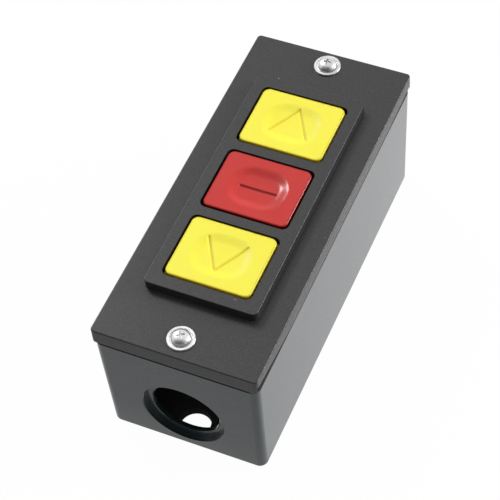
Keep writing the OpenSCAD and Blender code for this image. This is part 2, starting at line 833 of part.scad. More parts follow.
// The inner end of a strip, under or over the bridge's tip, with its neck through the wall
module strip_reach(side, turn, z) {
    outer_x = housing_w / 2 + strip_gap + strip_t;
    far_y = -turn * (tip_r + contact_reach);
    near_y = turn * neck_y;
    inner_w = cell_half_w - strip_gap - tongue_in_x;
    translate([side * (tongue_in_x + inner_w / 2) - inner_w / 2, min(far_y, near_y), z])
        cube([inner_w, abs(near_y - far_y), strip_t]);
    translate([side * (tongue_in_x + outer_x) / 2 - (outer_x - tongue_in_x) / 2,
               min(turn * foot_in_y, near_y), z])
        cube([outer_x - tongue_in_x, neck_w, strip_t]);
}

// Two bent strips that lie over a bridge's tips
module upper_contacts() {
    riser_x = housing_w / 2 + strip_gap + strip_t / 2;
    for (side = [-1, 1]) {
        strip_foot(side, 1);
        translate([side * riser_x - strip_t / 2, foot_in_y, shelf_z])
            cube([strip_t, neck_w, upper_strip_z + strip_t - shelf_z]);
        strip_reach(side, 1, upper_strip_z);
    }
}

// Two flat strips that lie under a bridge's tips
module lower_contacts() {
    for (side = [-1, 1]) {
        strip_foot(side, -1);
        strip_reach(side, -1, shelf_z);
    }
}

module up_upper_contacts() {
    color("#c9a24a") at_station(UP) upper_contacts();
}

module stop_upper_contacts() {
    color("#c9a24a") at_station(STOP) upper_contacts();
}

module down_upper_contacts() {
    color("#c9a24a") at_station(DOWN) upper_contacts();
}

module up_lower_contacts() {
    color("#c9a24a") at_station(UP) lower_contacts();
}

module stop_lower_contacts() {
    color("#c9a24a") at_station(STOP) lower_contacts();
}

module down_lower_contacts() {
    color("#c9a24a") at_station(DOWN) lower_contacts();
}

// Silver tips at height z over both ends of every bridge
module fixed_tips(z) {
    for (y = stations, side = [-1, 1])
        at_station(y) translate([side * tip_x, 0, z]) cylinder(tip_t, tip_r, tip_r);
}

module upper_contact_tips() {
    color("#d8dadc") fixed_tips(upper_tip_z);
}

module lower_contact_tips() {
    color("#d8dadc") fixed_tips(lower_tip_z);
}

module terminal_nuts() {
    color("#b8975a") at_terminals() translate([0, 0, -terminal_nut_t]) difference() {
        translate([-terminal_nut_w / 2, -terminal_nut_w / 2, 0])
            cube([terminal_nut_w, terminal_nut_w, terminal_nut_t]);
        translate([0, 0, -over])
            cylinder(terminal_nut_t + 2 * over, terminal_shank_r + seat_gap, terminal_shank_r + seat_gap);
    }
}

module terminal_clamps() {
    color("#c8ccd0") at_terminals() translate([0, 0, strip_t]) difference() {
        translate([-clamp_w / 2, -clamp_w / 2, 0]) cube([clamp_w, clamp_w, clamp_t]);
        translate([0, 0, -over])
            cylinder(clamp_t + 2 * over, terminal_shank_r + hole_clear, terminal_shank_r + hole_clear);
    }
}

module terminal_screws() {
    color("#c8ccd0") at_terminals() {
        translate([0, 0, -terminal_nut_t - terminal_tip])
            cylinder(terminal_nut_t + terminal_tip + strip_t + clamp_t, terminal_shank_r, terminal_shank_r);
        translate([0, 0, strip_t + clamp_t]) dome_head(terminal_head_r, terminal_head_h);
    }
}

base_box();
cover();
cover_screws();
up_button();
stop_button();
down_button();
up_plunger();
stop_plunger();
down_plunger();
up_return_spring();
stop_return_spring();
down_return_spring();
up_contact_bridge();
stop_contact_bridge();
down_contact_bridge();
up_bridge_tips();
stop_bridge_tips();
down_bridge_tips();
up_contact_spring();
stop_contact_spring();
down_contact_spring();
contact_block();
guide_plate();
block_screws();
up_upper_contacts();
stop_upper_contacts();
down_upper_contacts();
up_lower_contacts();
stop_lower_contacts();
down_lower_contacts();
upper_contact_tips();
lower_contact_tips();
terminal_nuts();
terminal_clamps();
terminal_screws();
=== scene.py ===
import math

import bmesh
import bpy
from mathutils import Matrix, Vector


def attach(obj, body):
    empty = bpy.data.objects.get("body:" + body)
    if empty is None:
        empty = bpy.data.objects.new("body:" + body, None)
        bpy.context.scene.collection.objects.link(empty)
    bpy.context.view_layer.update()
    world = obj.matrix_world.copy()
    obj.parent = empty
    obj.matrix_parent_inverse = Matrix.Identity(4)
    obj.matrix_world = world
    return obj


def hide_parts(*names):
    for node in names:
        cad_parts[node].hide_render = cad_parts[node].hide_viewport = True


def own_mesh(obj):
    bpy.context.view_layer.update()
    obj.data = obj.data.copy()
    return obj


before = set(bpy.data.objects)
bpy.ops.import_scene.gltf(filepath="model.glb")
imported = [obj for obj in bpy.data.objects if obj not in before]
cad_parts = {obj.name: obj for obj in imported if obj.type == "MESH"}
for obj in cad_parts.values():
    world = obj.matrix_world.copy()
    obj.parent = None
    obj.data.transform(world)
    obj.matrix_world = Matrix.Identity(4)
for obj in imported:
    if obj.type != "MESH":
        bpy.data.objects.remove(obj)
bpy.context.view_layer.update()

# Camera. It looks down on the near right corner of the box from about three box lengths away,
# through a long lens, so that the sides run almost parallel as in the photograph.
MM = 0.001
bpy.ops.object.select_all(action="DESELECT")
bpy.ops.object.camera_add(
    location=(149.55 * MM, -287.55 * MM, 442.76 * MM),
    rotation=[math.radians(a) for a in (37.352, 3.756, 23.251)],
)
camera = bpy.context.object
camera.name = "camera"
camera.data.sensor_width = 36
camera.data.lens = 129.3
camera.data.clip_start = 0.01
camera.data.clip_end = 20
bpy.context.scene.camera = camera
bpy.context.scene.view_settings.view_transform = "Standard"


# Floor. A white studio sheet. The camera sees it as plain white with a trace of the box's shadow,
# glossy surfaces see it glow, darkened by a painted shadow of the box in front of it and towards its
# front end, and other light sees paper. It is open from below, and to the light that reaches the back of the
# box.
def new_material(name):
    """A material with nodes, its node maker and its link maker."""
    material = bpy.data.materials.new(name)
    material.use_nodes = True
    tree = material.node_tree
    tree.nodes.clear()
    return material, tree.nodes.new, tree.links.new


def calculate(new, link, operation, one, two):
    """One step of arithmetic. A part is a socket or a plain number."""
    step = new("ShaderNodeMath")
    step.operation = operation
    for socket, part in zip(step.inputs, (one, two)):
        if isinstance(part, (int, float)):
            socket.default_value = part
        else:
            link(part, socket)
    return step.outputs[0]


def add_ramp(new, link, value, low, high, out_low, out_high):
    """Moves a value from one range to another and clamps it there."""
    ramp = new("ShaderNodeMapRange")
    for socket, number in zip(ramp.inputs[1:5], (low, high, out_low, out_high)):
        socket.default_value = number
    link(value, ramp.inputs[0])
    return ramp.outputs[0]


FLOOR_SPAN, FLOOR_Z = 6, -0.05
SEEN_SHARE = 0.98
FRONT_START, FRONT_END, FRONT_SHADOW_DIM = -64, -50, 0.22
SIDE_START, SIDE_END, SIDE_SHADOW_DIM = -60, 60, 0.24
BACK_GAP = 0.2
bpy.ops.mesh.primitive_plane_add(size=FLOOR_SPAN, location=(0, 0, FLOOR_Z * MM))
floor = bpy.context.object
floor.name = "floor"
floor_paper, new, link = new_material("floor_paper")
paper = new("ShaderNodeBsdfDiffuse")
paper.inputs["Color"].default_value = (0.9, 0.9, 0.9, 1)
glow = new("ShaderNodeEmission")
glow.inputs["Color"].default_value = (1, 1, 1, 1)
rays = new("ShaderNodeLightPath")
seen = calculate(new, link, "MAXIMUM", rays.outputs["Is Camera Ray"], rays.outputs["Is Transmission Ray"])
seen = calculate(new, link, "MULTIPLY", seen, SEEN_SHARE)
place = new("ShaderNodeSeparateXYZ")
link(new("ShaderNodeTexCoord").outputs["Object"], place.inputs[0])
along = place.outputs["Y"]
# painted shadow: glossy rays see the glow darker in front of the box and towards its front end, where the
# box would shade the sheet
front_painted_shadow = add_ramp(new, link, along, FRONT_START * MM, FRONT_END * MM, FRONT_SHADOW_DIM, 0)
side_painted_shadow = add_ramp(new, link, along, SIDE_START * MM, SIDE_END * MM, SIDE_SHADOW_DIM, 0)
painted_shadow = calculate(new, link, "ADD", front_painted_shadow, side_painted_shadow)
painted_shadow = calculate(new, link, "MULTIPLY", rays.outputs["Is Glossy Ray"], painted_shadow)
link(calculate(new, link, "SUBTRACT", 1.0, painted_shadow), glow.inputs["Strength"])
mixed = new("ShaderNodeMixShader")
link(calculate(new, link, "MAXIMUM", seen, rays.outputs["Is Glossy Ray"]), mixed.inputs["Fac"])
link(paper.outputs[0], mixed.inputs[1])
link(glow.outputs[0], mixed.inputs[2])
opening = calculate(new, link, "LESS_THAN", rays.outputs["Ray Length"], BACK_GAP * MM)
opening = calculate(new, link, "MAXIMUM", opening, new("ShaderNodeNewGeometry").outputs["Backfacing"])
open_sheet = new("ShaderNodeMixShader")
link(opening, open_sheet.inputs["Fac"])
link(mixed.outputs[0], open_sheet.inputs[1])
link(new("ShaderNodeBsdfTransparent").outputs[0], open_sheet.inputs[2])
link(open_sheet.outputs[0], new("ShaderNodeOutputMaterial").inputs["Surface"])
floor.data.materials.append(floor_paper)


# Studio light. A white room that falls off to grey behind the camera, so that edges facing the
# camera read dark, a softbox at the back left for the spot in each dish, and a larger one at the
# back right, which draws a pale line along the right edges.
ROOM_LEVEL, ROOM_DIM = 0.86, 0.12
DIM_SIDE, DIM_START, DIM_FULL = (0.10, -0.86, 0.50), 0.35, 0.80
world = bpy.data.worlds.new("studio")
bpy.context.scene.world = world
world.use_nodes = True
world.node_tree.nodes.clear()
new, link = world.node_tree.nodes.new, world.node_tree.links.new
facing = new("ShaderNodeVectorMath")
facing.operation = "DOT_PRODUCT"
link(new("ShaderNodeTexCoord").outputs["Generated"], facing.inputs[0])
facing.inputs[1].default_value = Vector(DIM_SIDE).normalized()
level = add_ramp(new, link, facing.outputs["Value"], DIM_START, DIM_FULL, ROOM_LEVEL, ROOM_DIM)
level.node.interpolation_type = "SMOOTHSTEP"
room = new("ShaderNodeBackground")
room.inputs["Color"].default_value = (1, 1, 1, 1)
link(level, room.inputs["Strength"])
white = new("ShaderNodeBackground")
white.inputs["Color"].default_value = (1, 1, 1, 1)
rays = new("ShaderNodeLightPath")
seen = calculate(new, link, "MAXIMUM", rays.outputs["Is Camera Ray"], rays.outputs["Is Transmission Ray"])
mixed = new("ShaderNodeMixShader")
link(seen, mixed.inputs["Fac"])
link(room.outputs[0], mixed.inputs[1])
link(white.outputs[0], mixed.inputs[2])
link(mixed.outputs[0], new("ShaderNodeOutputWorld").inputs["Surface"])


def add_softbox(name, side, size, power):
    """A square area lamp that shines at the middle of the box's face from one side."""
    away = 2.0
    aim = Vector((0, 0, 45 * MM))
    spot = aim + Vector(side).normalized() * away
    bpy.ops.object.select_all(action="DESELECT")
    turn = (aim - spot).to_track_quat("-Z", "Y").to_euler()
    bpy.ops.object.light_add(type="AREA", location=spot, rotation=turn)
    softbox = bpy.context.object
    softbox.name = name
    softbox.data.size = size
    softbox.data.energy = power


add_softbox("left_softbox", (-0.63, 0.42, 0.66), size=0.40, power=12.0)
add_softbox("right_softbox", (0.82, 0.50, 0.32), size=0.70, power=25.0)


# Base box. A deep box moulded in black plastic, with walls that lean in towards its back, a
# boss for a cover screw at each end, two pillars for the contact block and a stepped cable entry.
SEAM_Z, SEAM_T, SEAM_HALF = 39.94, 0.75, (24.1, 58.3)
FACE_SHIFT, PITCH = 0.4, 25.75
BASE_HALF, BASE_LEAN = (24, 58.2), 0.64
ROOM_HALF, BACK_T = (21.6, 54.8), 3
PILLAR_R, PILLAR_Z, PILLAR_BORE_R = 4.6, 7.7, 1.97
RIB_HALF, RIB_Y, ROOT_Z = (10.55, 1.2), 34.45, 1
BOSS_R, BOSS_Y, BOSS_LOW, WEB_END = 4.75, 53.2, 28.54, 57.5
SCREW_BORE_R, SCREW_MOUTH_R = 1.77, 2.57
WALL_HOLE_R, WALL_LIP_R, WALL_HOLE_X, WALL_HOLE_Y = 2.5, 3.5, 14, 46
ENTRY, ENTRY_R, SEAT_R, SEAT_Y = (0, 15.1), 10.3, 12.42, -56.49
# how far a cut reaches past the face that it opens
PAST = 1


def deselect():
    bpy.ops.object.select_all(action="DESELECT")


def select_only(obj):
    deselect()
    obj.select_set(True)
    bpy.context.view_layer.objects.active = obj


def apply_place(obj):
    """The object's place, turn and size go into its mesh."""
    select_only(obj)
    bpy.ops.object.transform_apply(location=True, rotation=True, scale=True)


def edit_edges(obj, test, offset, segments):
    """Bevels the edges whose middle and direction pass the test. Lengths are in millimetres."""
    select_only(obj)
    bpy.ops.object.mode_set(mode="EDIT")
    bpy.ops.mesh.select_mode(type="EDGE")
    bpy.ops.mesh.select_all(action="DESELECT")
    mesh = bmesh.from_edit_mesh(obj.data)
    for edge in mesh.edges:
        a, b = (v.co / MM for v in edge.verts)
        edge.select_set(test((a + b) / 2, b - a))
    bmesh.update_edit_mesh(obj.data)
    bpy.ops.mesh.bevel(offset=offset * MM, segments=segments, affect="EDGES", clamp_overlap=False)
    bpy.ops.object.mode_set(mode="OBJECT")


def add_block(name, low, high, radius=0.0, steps=8, top=0.0, bottom=0.0, lean=0.0):
    """A block between two corners, with round upright edges and softened top and bottom edges."""
    deselect()
    middle = [(a + b) / 2 * MM for a, b in zip(low, high)]
    bpy.ops.mesh.primitive_cube_add(size=1, location=middle, scale=[(b - a) * MM for a, b in zip(low, high)])
    obj = bpy.context.object
    obj.name = name
    apply_place(obj)
    if lean:
        for v in obj.data.vertices:
            if v.co.z > middle[2]:
                v.co.x += math.copysign(lean * MM, v.co.x)
                v.co.y += math.copysign(lean * MM, v.co.y)
    if radius:
        edit_edges(obj, lambda m, d: abs(d.z) > 0.9 * d.length, radius, steps)
    if top:
        edit_edges(obj, lambda m, d: m.z > high[2] - 0.01 and abs(d.z) < 0.01, top, 3)
    if bottom:
        edit_edges(obj, lambda m, d: m.z < low[2] + 0.01 and abs(d.z) < 0.01, bottom, 3)
    return obj


def add_slab(name, half, low, high, y=0.0, **edges):
    """A block between two heights that reaches half its size each way from the middle line."""
    return add_block(name, (-half[0], y - half[1], low), (half[0], y + half[1], high), **edges)


def add_rod(name, centre, r, low, high, r_high=None, sides=64, axis="Z"):
    """A round rod or cone between two heights, or between two places along Y."""
    deselect()
    half, length = (low + high) / 2, high - low
    place = (centre[0], centre[1], half) if axis == "Z" else (centre[0], half, centre[1])
    turn = (0, 0, 0) if axis == "Z" else (-math.pi / 2, 0, 0)
    bpy.ops.mesh.primitive_cone_add(
        vertices=sides, radius1=r * MM, radius2=(r if r_high is None else r_high) * MM,
        depth=length * MM, location=[c * MM for c in place], rotation=turn,
    )
    obj = bpy.context.object
    obj.name = name
    apply_place(obj)
    return obj


def combine(obj, others, operation):
    """Cuts the others out of obj, or joins them to it, as solids."""
    for other in others:
        select_only(obj)
        step = obj.modifiers.new("solid", "BOOLEAN")
        step.operation = operation
        step.solver = "EXACT"
        step.object = other
        bpy.ops.object.modifier_apply(modifier=step.name)
        bpy.data.objects.remove(other, do_unlink=True)


def finish_piece(obj, body, nodes, material, angle=32):
    """Smooths the curved faces, gives the material and hands the piece to its body."""
    select_only(obj)
    bpy.ops.object.mode_set(mode="EDIT")
    bpy.ops.mesh.select_all(action="SELECT")
    bpy.ops.mesh.remove_doubles(threshold=0.002 * MM)
    bpy.ops.mesh.normals_make_consistent(inside=False)
    bpy.ops.object.mode_set(mode="OBJECT")
    bpy.ops.object.shade_smooth_by_angle(angle=math.radians(angle))
    even = obj.modifiers.new("even", "WEIGHTED_NORMAL")
    even.keep_sharp = True
    bpy.ops.object.modifier_apply(modifier=even.name)
    obj.data.materials.clear()
    obj.data.materials.append(material)
    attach(obj, body)
    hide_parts(*nodes)
    return obj


def add_lining(obj, material, test):
    """Gives a second material to the faces whose middle and direction pass the test."""
    obj.data.materials.append(material)
    for face in obj.data.polygons:
        if test(face.center / MM, face.normal):
            face.material_index = len(obj.data.materials) - 1


def add_noise(new, link, at, scale, detail, rough=0.5):
    """Noise at a scale in waves a metre, read at the given place."""
    noise = new("ShaderNodeTexNoise")
    noise.inputs["Scale"].default_value = scale
    noise.inputs["Detail"].default_value = detail
    noise.inputs["Roughness"].default_value = rough
    link(at, noise.inputs["Vector"])
    return noise.outputs["Fac"]


def add_mix(new, link, share, one, two):
    """A colour between two, by a share of the second. A colour is a socket or three numbers."""
    mix = new("ShaderNodeMixRGB")
    for socket, colour in zip(mix.inputs[1:3], (one, two)):
        if isinstance(colour, tuple):
            socket.default_value = (*colour, 1)
        else:
            link(colour, socket)
    link(share, mix.inputs["Fac"])
    return mix.outputs[0]


def add_grain(new, link, height, depth, skin):
    """Gives a skin its fine relief, as deep as depth, and makes it the material's surface."""
    bump = new("ShaderNodeBump")
    bump.inputs["Strength"].default_value = 1
    bump.inputs["Distance"].default_value = depth * MM
    link(height, bump.inputs["Height"])
    link(bump.outputs[0], skin.inputs["Normal"])
    link(skin.outputs[0], new("ShaderNodeOutputMaterial").inputs["Surface"])


def plastic(name, colour, shade, gloss, grain, grain_depth, ior=1.5, dust=0.0, polish=0.0, glow=0.0,
            mark=None, patches=60):
    """Moulded plastic: a colour that drifts to a shade of it, a gloss range, grain, dust, a
    polished skin, a share of light that glows through thin edges, and a painted shade for engraved grooves."""
    material, new, link = new_material(name)
    at = new("ShaderNodeTexCoord").outputs["Object"]
    drift = add_noise(new, link, at, patches, 4, 0.6)
    shown = add_mix(new, link, add_ramp(new, link, drift, 0.35, 0.7, 0, 1), colour, shade)
    if dust:
        specks = new("ShaderNodeTexVoronoi")
        specks.inputs["Scale"].default_value = 420
        specks.inputs["Randomness"].default_value = 1
        link(at, specks.inputs["Vector"])
        pick = new("ShaderNodeSeparateColor")
        link(specks.outputs["Color"], pick.inputs[0])
        near = add_ramp(new, link, specks.outputs["Distance"], 0.05, 0.11, 1, 0)
        rare = add_ramp(new, link, pick.outputs[0], 0.965, 0.97, 0, dust)
        dusty = calculate(new, link, "MULTIPLY", near, rare)
        shown = add_mix(new, link, dusty, shown, (0.45, 0.44, 0.42))
    # painted shade: the engraved grooves and the cap's skirt walls take a darker colour where shade falls in
    # them
    if mark:
        depth = new("ShaderNodeAttribute")
        depth.attribute_name = "painted_shade"
        shown = add_mix(new, link, depth.outputs["Fac"], shown, mark)
    skin = new("ShaderNodeBsdfPrincipled")
    skin.inputs["IOR"].default_value = ior
    skin.inputs["Coat Weight"].default_value = polish
    skin.inputs["Coat Roughness"].default_value = 0.12
    if glow:
        skin.inputs["Subsurface Weight"].default_value = glow
        skin.inputs["Subsurface Radius"].default_value = (1.0, 0.6, 0.1)
        skin.inputs["Subsurface Scale"].default_value = 1.6 * MM
    link(shown, skin.inputs["Base Color"])
    wear = add_noise(new, link, at, 900, 4, 0.6)
    link(add_ramp(new, link, wear, 0.3, 0.7, *gloss), skin.inputs["Roughness"])
    add_grain(new, link, add_noise(new, link, at, grain, 2, 0.6), grain_depth, skin)
    return material


base = add_slab(
    "base_box_shell", BASE_HALF, 0, SEAM_Z, radius=2.5, steps=10, top=0.4, bottom=0.35, lean=BASE_LEAN
)
combine(base, [add_slab("cavity", ROOM_HALF, BACK_T, SEAM_Z + PAST, radius=2.2, bottom=0.5)], "DIFFERENCE")
solids = []
for s in (-1, 1):
    pillar = (0, FACE_SHIFT + s * PITCH / 2)
    solids.append(add_rod("pillar", pillar, PILLAR_R, ROOT_Z, PILLAR_Z))
for s in (-1, 1):
    solids.append(add_slab("rib", RIB_HALF, ROOT_Z, PILLAR_Z, y=FACE_SHIFT + s * RIB_Y))
    y = FACE_SHIFT + s * BOSS_Y
    solids.append(add_rod("boss", (0, y), BOSS_R, BOSS_LOW, SEAM_Z))
    near, far = sorted((y, s * WEB_END))
    solids.append(add_block("boss_web", (-BOSS_R, near, BOSS_LOW), (BOSS_R, far, SEAM_Z)))
combine(base, solids, "UNION")
cuts = []
for s in (-1, 1):
    boss = (0, FACE_SHIFT + s * BOSS_Y)
    cuts.append(add_rod("screw_bore", boss, SCREW_BORE_R, BOSS_LOW - PAST, SEAM_Z + PAST, sides=40))
    cuts.append(add_rod("bore_mouth", boss, SCREW_BORE_R, SEAM_Z - 0.4, SEAM_Z + 0.4, SCREW_MOUTH_R, 40))
    core_hole = add_rod("core_hole", boss, BOSS_R, -PAST, BACK_T + PAST)
    room_block = add_slab("room_block", ROOM_HALF, -2 * PAST, BACK_T + 2 * PAST)
    combine(core_hole, [room_block], "INTERSECT")
    cuts.append(core_hole)
    pillar = (0, FACE_SHIFT + s * PITCH / 2)
    cuts.append(add_rod("pillar_bore", pillar, PILLAR_BORE_R, BACK_T, PILLAR_Z + PAST, sides=40))
    wall_hole = (-s * WALL_HOLE_X, FACE_SHIFT + s * WALL_HOLE_Y)
    cuts.append(add_rod("wall_hole", wall_hole, WALL_HOLE_R, -PAST, BACK_T + PAST, sides=48))
    cuts.append(add_rod("wall_hole_lip", wall_hole, WALL_LIP_R, -0.8, 0.2, WALL_HOLE_R, 48))
for name, r, start, end, r_end in (
    ("entry_bore", ENTRY_R, -60, -54, ENTRY_R),
    ("entry_seat", SEAT_R, -60, SEAT_Y, SEAT_R),
    ("entry_lip", SEAT_R + 1.0, -59.18, -58.12, SEAT_R - 0.06),
    ("bore_lip", ENTRY_R + 0.6, -56.8, -56.2, ENTRY_R),
):
    cuts.append(add_rod(name, ENTRY, r, start, end, r_end, sides=128, axis="Y"))
seam = add_slab("seam_line", (26, 61), SEAM_Z - SEAM_T, SEAM_Z + PAST)
seam_core = add_slab("seam_core", SEAM_HALF, SEAM_Z - 2, SEAM_Z + 2, radius=2.0, steps=10)
combine(seam, [seam_core], "DIFFERENCE")
cuts.append(seam)
combine(base, cuts, "DIFFERENCE")
case_black = plastic(
    "case_black_plastic", (0.014, 0.026, 0.030), (0.024, 0.037, 0.042), gloss=(0.20, 0.28),
    grain=900, grain_depth=0.008, ior=1.56, dust=0.4, polish=0.45,
)
# painted shade: a darker, duller black for faces in the seam, the windows, the tongue and the rim wedges,
# where the gaps lie in shadow
shade_lining_black = plastic(
    "painted_shade_black_plastic", (0.012, 0.012, 0.013), (0.016, 0.016, 0.017), gloss=(0.70, 0.85),
    grain=1500, grain_depth=0.01, ior=1.3,
)
# painted light: the base's inside is the same black plastic, coloured a lighter grey so that its wiring room
# reads lit through the openings
painted_light_grey = plastic(
    "painted_light_room_plastic", (0.11, 0.11, 0.112), (0.13, 0.13, 0.132), gloss=(0.75, 0.90),
    grain=1500, grain_depth=0.01, ior=1.15,
)
finish_piece(base, "case", ["base_box"], case_black)
# painted light on the inside faces of the wiring room
add_lining(
    base, painted_light_grey,
    lambda m, n: abs(m.x) < ROOM_HALF[0] + 0.1 and abs(m.y) < ROOM_HALF[1] + 0.1 and m.z > 0.3,
)
# painted shade in the seam: the base's top faces and its seam groove take the darker black
add_lining(base, shade_lining_black, lambda m, n: m.z > SEAM_Z - SEAM_T + 0.01)


# Cover. Moulded in the same black plastic with a finer spark-eroded grain. A tongue under its
# rim drops into the base, and its raised panel has a window for each button.
FACE_Z, PANEL_Z, POCKET_Z = 45.3, 48.3, 45.5
COVER_HALF = (24.8, 59)
TONGUE_HALF, TONGUE_LOW, HOLLOW_HALF, UNDER_Z = (21.5, 54.7), 37.94, (20.2, 53.4), 42.5
PANEL_HALF, POCKET_HALF, WINDOW_HALF = (17.05, 41.0), (15.1, 38.55), (13.6, 11.3)
BOSS_GAP, SCREW_HOLE_R = 0.1, 2.0
WEDGE_RUN, WEDGE_END, WEDGE_WALL = 25.9, 58.4, 21.5
LEFT_WEDGES, RIGHT_WEDGES = (1.1, 0.6), (2.4, 1.3)
cover = add_slab("cover_shell", COVER_HALF, SEAM_Z, FACE_Z, radius=1.2, top=0.35, bottom=0.35)
tongue = add_slab("tongue", TONGUE_HALF, TONGUE_LOW, UNDER_Z, radius=2.2, bottom=0.2)
combine(cover, [tongue], "UNION")
hollow = add_slab("hollow", HOLLOW_HALF, TONGUE_LOW - PAST, UNDER_Z, radius=2.2, top=0.3)
combine(cover, [hollow], "DIFFERENCE")
notches, bosses, screw_holes = [], [], []
for s in (-1, 1):
    near, far = sorted((FACE_SHIFT + s * (BOSS_Y - BOSS_R - BOSS_GAP), s * (COVER_HALF[1] + PAST)))
    half = BOSS_R + BOSS_GAP
    notches.append(add_block("boss_notch", (-half, near, TONGUE_LOW - PAST), (half, far, SEAM_Z)))
    boss = (0, FACE_SHIFT + s * BOSS_Y)
    bosses.append(add_rod("cover_boss", boss, BOSS_R, SEAM_Z, UNDER_Z + 0.5))
    screw_holes.append(add_rod("screw_hole", boss, SCREW_HOLE_R, SEAM_Z - PAST, FACE_Z + PAST, sides=40))
combine(cover, notches, "DIFFERENCE")
combine(cover, bosses, "UNION")
panel = add_slab("panel", PANEL_HALF, FACE_Z - PAST, PANEL_Z, y=FACE_SHIFT, radius=1.6, top=0.2)
combine(cover, [panel], "UNION")
cuts = [add_slab("pocket", POCKET_HALF, UNDER_Z - PAST, POCKET_Z, y=FACE_SHIFT, radius=2.0, steps=6)]
for s in (-1, 0, 1):
    y = FACE_SHIFT + s * PITCH
    cuts.append(add_slab("window", WINDOW_HALF, POCKET_Z - PAST, PANEL_Z + PAST, y=y, radius=2.0))
combine(cover, cuts + screw_holes, "DIFFERENCE")
wedges = []
for side, lifts in ((-1, LEFT_WEDGES), (1, RIGHT_WEDGES)):
    for end, lift in zip((-1, 1), lifts):
        x = sorted((side * 26, side * WEDGE_WALL))
        y = sorted((end * WEDGE_END, end * (WEDGE_END - WEDGE_RUN)))
        wedge = add_block("rim_wedge", (x[0], y[0], SEAM_Z - 0.5), (x[1], y[1], SEAM_Z + lift))
        for v in wedge.data.vertices:
            if v.co.z > SEAM_Z * MM and abs(v.co.y) < (WEDGE_END - 1) * MM:
                v.co.z = (SEAM_Z + 0.01) * MM
        wedges.append(wedge)
combine(cover, wedges, "DIFFERENCE")
face_black = plastic(
    "face_black_plastic", (0.020, 0.022, 0.020), (0.042, 0.044, 0.042), gloss=(0.28, 0.40),
    grain=3000, grain_depth=0.020, dust=0.8, patches=1700,
)
finish_piece(cover, "case", ["cover"], face_black)


def is_under_cover(m, n):
    """Whether a face lies in a window, in the tongue or in a wedge, and doesn't look up. These faces get
    painted shade.
    """
    in_windows = abs(m.x) < WINDOW_HALF[0] + 0.1 and abs(m.y) < 40 and m.z < PANEL_Z - 0.1
    in_tongue = (
        abs(m.x) < TONGUE_HALF[0] + 0.1 and abs(m.y) < TONGUE_HALF[1] + 0.1 and m.z < FACE_Z - 0.1
    )
    in_wedge = m.z < SEAM_Z + max(RIGHT_WEDGES) + 0.2 and (n.z < -0.9 or abs(abs(m.x) - WEDGE_WALL) < 0.5)
    return n.z < 0.9 and (in_windows or in_tongue or in_wedge)


# painted shade in the windows, under the tongue and in the rim wedges
add_lining(cover, shade_lining_black, is_under_cover)


# Cover screws. Zinc-plated steel screws with a domed head pressed in one piece with its washer,
# a cross recess and a coarse thread that bites into the bosses of the base.
HEAD_Z, TIP_Z = FACE_Z, 29.3
FLANGE_R, DOME_R, SHANK_R, CREST_R, THREAD_PITCH = 4.1, 2.85, 1.44, 1.73, 1.1
RIM_Z, GROOVE_Z, DOME_Z, DOME_RISE = HEAD_Z + 0.5, HEAD_Z + 0.12, HEAD_Z + 0.42, 1.75
CROSS_REACH, CROSS_W, CROSS_Z = 1.8, 0.70, HEAD_Z + 1.3
NEAR_TURN, FAR_TURN = 32, 8


def add_turned(name, centre, profile, sides=72):
    """A turned piece: a disc pulled up and scaled through pairs of radius and height."""
    deselect()
    r, z = profile[0]
    bpy.ops.mesh.primitive_circle_add(
        vertices=sides, radius=r * MM, fill_type="NGON", location=(centre[0] * MM, centre[1] * MM, z * MM)
    )
    obj = bpy.context.object
    obj.name = name
    apply_place(obj)
    bpy.ops.object.mode_set(mode="EDIT")
    bpy.ops.mesh.select_mode(type="FACE")
    bpy.ops.mesh.select_all(action="SELECT")
    middle = (centre[0] * MM, centre[1] * MM, 0)
    for (r_old, z_old), (r_new, z_new) in zip(profile, profile[1:]):
        bpy.ops.mesh.extrude_region_move(TRANSFORM_OT_translate={"value": (0, 0, (z_new - z_old) * MM)})
        bpy.ops.transform.resize(value=(r_new / r_old, r_new / r_old, 1), center_override=middle)
    bpy.ops.mesh.select_all(action="SELECT")
    bpy.ops.mesh.normals_make_consistent(inside=False)
    bpy.ops.object.mode_set(mode="OBJECT")
    return obj


def add_thread(name, centre, core, crest, low, high, pitch):
    """The ridge of a thread: a small triangle swept up a helix by the Screw modifier."""
    deselect()
    bpy.ops.mesh.primitive_circle_add(vertices=3, radius=pitch * MM, fill_type="NGON")
    obj = bpy.context.object
    obj.name = name
    corners = ((core, -0.42), (crest, 0.0), (core, 0.42))
    for v, (r, share) in zip(obj.data.vertices, corners):
        v.co = (r * MM, 0, (low + (share + 0.5) * pitch) * MM)
    sweep = obj.modifiers.new("sweep", "SCREW")
    sweep.screw_offset = pitch * MM
    sweep.iterations = int((high - low) / pitch) - 1
    sweep.steps = sweep.render_steps = 24
    bpy.ops.object.modifier_apply(modifier=sweep.name)
    for v in obj.data.vertices:
        v.co.x += centre[0] * MM
        v.co.y += centre[1] * MM
    bpy.ops.object.mode_set(mode="EDIT")
    bpy.ops.mesh.select_all(action="SELECT")
    bpy.ops.mesh.remove_doubles(threshold=0.001 * MM)
    bpy.ops.mesh.fill_holes(sides=3)
    bpy.ops.mesh.normals_make_consistent(inside=False)
    bpy.ops.object.mode_set(mode="OBJECT")
    return obj


def add_cross(centre, turn, reach, width, low, high):
    """The four tapered wings of a cross recess, as two wedges to cut away."""
    wings = []
    for quarter in (0, 90):
        wing = add_block("wing", (-reach, -width / 2, low), (reach, width / 2, high))
        angle = math.radians(turn + quarter)
        for v in wing.data.vertices:
            share = 1.0 if v.co.z > (low + high) / 2 * MM else 0.45
            x, y = v.co.x * share, v.co.y * (0.6 + 0.4 * share)
            v.co.x = x * math.cos(angle) - y * math.sin(angle) + centre[0] * MM
            v.co.y = x * math.sin(angle) + y * math.cos(angle) + centre[1] * MM
        wings.append(wing)
    return wings


def join(obj, others):
    """Puts the others' meshes into obj's mesh, each still a shell of its own."""
    select_only(obj)
    for other in others:
        other.select_set(True)
    bpy.ops.object.join()


